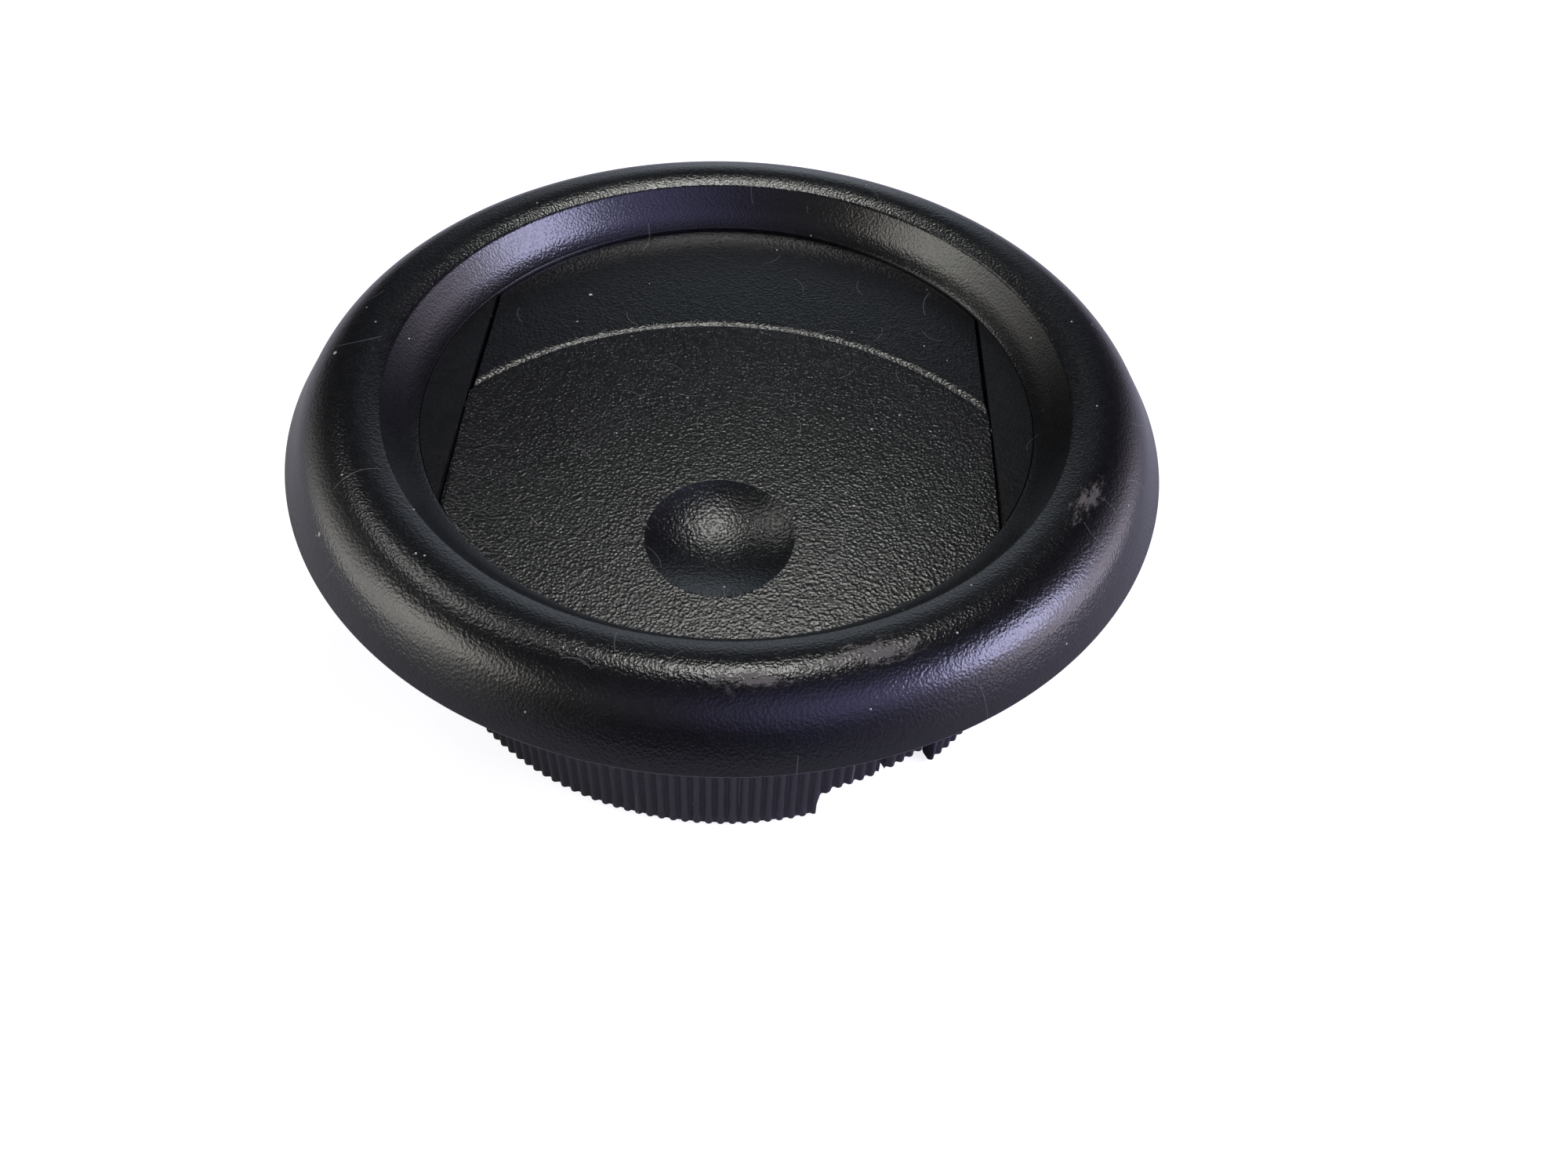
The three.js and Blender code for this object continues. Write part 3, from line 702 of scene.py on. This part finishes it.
def makeFlap():
    f = flap
    top = plateTop / mm
    axis = hinge.z / mm
    under = top - f["thick"]
    rearUnder = f["rearTop"] - f["thick"]
    bm = bmesh.new()
    loop, edges = frontLoop()
    plate(bm, loop, under, top, edges, 0.2)
    front = makeObject("tilting_flap", bm, weighted=False)

    # thumb dimple, with a bulge under it
    bowl, lip, ball, centre = dimpleBowl()
    outer = ball + f["thick"]
    reach = math.degrees(math.acos((centre - under - 0.4) / outer))
    bulge = arcPoints(0, centre, outer, -90, -90 + reach, 24)[1:]
    boolean(front, bowlTool(bulge, centre - outer), "UNION")
    rim0 = lip[-1]
    hollow = bowl[1:] + lip[1:] + [(rim0[0] + 0.3, rim0[1] + 0.03), (rim0[0] + 0.3, top + 1)]
    boolean(front, bowlTool(hollow, centre - ball), "DIFFERENCE")

    ribs = bmesh.new()
    for side in (-1, 1):
        x = side * f["stiffener"]
        brick(ribs, (x - f["ribHalf"], x + f["ribHalf"]), f["ribFrontY"], (axis - f["ribBelow"], under + 0.1), 0.15)
    ribs = makeObject("ribs", ribs, weighted=False)

    rest = bmesh.new()
    rearPlate(rest)
    brick(rest, f["joinX"], f["joinY"], (rearUnder + 0.03, under + 0.3), 0.1)
    for side in (-1, 1):
        x0, x1 = sorted((side * f["bossIn"], side * (f["rearHalf"] - 0.2)))
        rodX(rest, f["boss"], x0, x1, 0, axis)
        brick(rest, (x0 + 0.05, x1 - 0.05), (-f["boss"] + 0.02, f["boss"] - 0.02), (axis, under), 0.1)
        x = side * f["stiffener"]
        brick(rest, (x - f["ribHalf"], x + f["ribHalf"]), f["ribRearY"],
              (axis - f["ribBelow"], rearUnder + 0.1), 0.15)
    brick(rest, (-f["bossIn"] - 0.2, f["bossIn"] + 0.2), (-f["webHalf"], f["webHalf"]),
          (axis - f["boss"], under), 0.15)
    rear = makeObject("rear", rest, weighted=False)

    for obj in (front, ribs):
        slopeFront(obj, f["slope"])
    joined = bmesh.new()
    for obj in (front, ribs, rear):
        joined.from_mesh(obj.data)
    joined.to_mesh(front.data)
    joined.free()
    for obj in (ribs, rear):
        bpy.data.objects.remove(obj)
    front.data.shade_smooth()
    front.data.set_sharp_from_angle(angle=math.radians(32))
    fix = front.modifiers.new("evenShading", "WEIGHTED_NORMAL")
    fix.keep_sharp = True
    return front


tiltingFlap = makeFlap()
finishPiece(tiltingFlap, blackPlastic("flapPlastic", grained), "flap", ["flap"])
print("flap made")


pins = {"radius": 1.2, "edge": 0.3, "steps": 64}


def makePins():
    steel = pinSteel()
    for side, node in ((-1, "hinge_pin_left"), (1, "hinge_pin_right")):
        low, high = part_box(node)
        bm = bmesh.new()
        rodX(bm, pins["radius"], low.x / mm, high.x / mm, 0, hinge.z / mm, pins["steps"], pins["edge"])
        pin = makeObject(node + "_turned", bm, 30, False)
        finishPiece(pin, steel, "flap", [node])


makePins()
print("pins made")


def softLight(name, towards, away, size, brightness, colour=(1, 1, 1)):
    # a round softbox given by its direction, distance, size and surface brightness
    side = Vector(towards).normalized()
    data = bpy.data.lights.new(name, "AREA")
    data.shape = "ELLIPSE"
    data.size, data.size_y = size
    data.energy = brightness * math.pi * math.pi * size[0] * size[1] / 4
    data.color = colour
    lamp = bpy.data.objects.new(name, data)
    scene.collection.objects.link(lamp)
    lamp.location = side * away + Vector((0, 0, 0.03))
    lamp.rotation_euler = side.to_track_quat("Z", "Y").to_euler()
    return lamp


studio = {
    # direction, distance, size and brightness of each softbox
    "key": ((0.02, 0.33, 0.944), 0.8, (0.18, 0.18), 23.0, (1.0, 1.0, 0.95)),
    "second": ((-0.50, 0.33, 0.80), 0.8, (0.20, 0.16), 8.0, (1.0, 1.0, 0.96)),
    "right": ((0.82, -0.19, 0.52), 0.8, (0.46, 0.34), 15.0, (0.66, 0.66, 1.0)),
    "left": ((-0.80, -0.30, 0.50), 0.8, (0.46, 0.34), 4.2, (1.0, 0.98, 0.90)),
    "room": (0.016, 0.018, 0.022),
    # wide glows of the room: direction, sharpness, brightness
    "glows": [((0.50, -0.58, 0.64), 9, (1.1, 1.05, 2.1)), ((-0.45, -0.62, 0.64), 9, (0.25, 0.22, 0.2)),
              ((-0.98, -0.1, 0.0), 9, (4.2, 4.1, 3.9)), ((0.99, 0.0, -0.05), 8, (5.4, 4.9, 6.0)),
              ((0.0, 0.97, 0.24), 28, (1.0, 1.12, 1.25))],
    "floor": 0.4, "floorGlow": 0.8,
}


def makeFloor():
    bm = bmesh.new()
    bmesh.ops.create_grid(bm, x_segments=1, y_segments=1, size=2.5)
    mesh = bpy.data.meshes.new("floor")
    bm.to_mesh(mesh)
    bm.free()
    floor = bpy.data.objects.new("floor", mesh)
    scene.collection.objects.link(floor)
    mat = bpy.data.materials.new("paleFloor")
    mat.use_nodes = True
    tree = mat.node_tree
    shader = tree.nodes["Principled BSDF"]
    coords = addNode(tree, "ShaderNodeTexCoord", (-600, 0)).outputs["Object"]
    mottle = noiseNode(tree, coords, 60, 3, 0.5, (-400, 0))
    tone = studio["floor"]
    pale = rampNode(tree, mottle.outputs["Fac"], [(0.3, (tone,) * 3), (0.7, (tone * 1.03,) * 3)], (-200, 0))
    tree.links.new(pale.outputs["Color"], shader.inputs["Base Color"])
    shader.inputs["Roughness"].default_value = 0.8
    # the floor shows paler than the light that it throws back on the plastic
    glow = addNode(tree, "ShaderNodeEmission", (0, -400))
    glow.inputs["Strength"].default_value = studio["floorGlow"]
    both = addNode(tree, "ShaderNodeAddShader", (250, -200))
    mix = addNode(tree, "ShaderNodeMixShader", (450, 0))
    path = addNode(tree, "ShaderNodeLightPath", (200, 300))
    tree.links.new(shader.outputs[0], both.inputs[0])
    tree.links.new(glow.outputs[0], both.inputs[1])
    tree.links.new(path.outputs["Is Camera Ray"], mix.inputs[0])
    tree.links.new(shader.outputs[0], mix.inputs[1])
    tree.links.new(both.outputs[0], mix.inputs[2])
    tree.links.new(mix.outputs[0], tree.nodes["Material Output"].inputs["Surface"])
    floor.data.materials.append(mat)


def makeRoom():
    world = bpy.data.worlds.new("room")
    world.use_nodes = True
    tree = world.node_tree
    room = tree.nodes["Background"]
    around = addNode(tree, "ShaderNodeTexCoord", (-1200, 0)).outputs["Generated"]
    total = None
    for i, (towards, sharp, colour) in enumerate(studio["glows"]):
        dot = addNode(tree, "ShaderNodeVectorMath", (-1000, -200 * i), operation="DOT_PRODUCT")
        tree.links.new(around, dot.inputs[0])
        dot.inputs[1].default_value = Vector(towards).normalized()
        near = mathNode(tree, "POWER", mathNode(tree, "MAXIMUM", dot.outputs["Value"], 0.0, (-850, -200 * i)),
                        sharp, (-700, -200 * i))
        base = studio["room"] if total is None else total
        total = mixColour(tree, 1.0, base, (0, 0, 0), (-300, -200 * i))
        add = total.node
        add.blend_type = "ADD"
        tint = mixColour(tree, near, (0.0, 0.0, 0.0), colour, (-500, -200 * i))
        tree.links.new(tint, add.inputs[7])
    tree.links.new(total, room.inputs["Color"])
    backdrop = addNode(tree, "ShaderNodeBackground", (0, 300))
    backdrop.inputs["Color"].default_value = (0.86, 0.86, 0.87, 1)
    mix = addNode(tree, "ShaderNodeMixShader", (300, 100))
    path = addNode(tree, "ShaderNodeLightPath", (0, 500))
    tree.links.new(path.outputs["Is Camera Ray"], mix.inputs[0])
    tree.links.new(room.outputs[0], mix.inputs[1])
    tree.links.new(backdrop.outputs[0], mix.inputs[2])
    tree.links.new(mix.outputs[0], tree.nodes["World Output"].inputs["Surface"])
    scene.world = world


def makeStudio():
    makeFloor()
    makeRoom()
    for name in ("key", "second", "right", "left"):
        softLight(name + "Softbox", *studio[name])
    scene.view_settings.view_transform = "Standard"


def makeCamera():
    # 27.5 mm lens on a 36 mm frame, a little over a hand's width away
    view = {"place": (5.09, -108.66, 124.19), "right": (0.99863, 0.02702, 0.0446),
            "up": (-0.04945, 0.75922, 0.6489), "lens": 27.55}
    data = bpy.data.cameras.new("camera")
    data.lens = view["lens"]
    data.sensor_width = 36
    data.clip_start = 0.005
    cam = bpy.data.objects.new("camera", data)
    scene.collection.objects.link(cam)
    right = Vector(view["right"]).normalized()
    up = (Vector(view["up"]) - right * right.dot(Vector(view["up"]))).normalized()
    back = right.cross(up)
    turn = Matrix((right, up, back)).transposed().to_4x4()
    cam.matrix_world = Matrix.Translation(Vector(view["place"]) * mm) @ turn
    scene.camera = cam


makeStudio()
makeCamera()
print("studio ready")
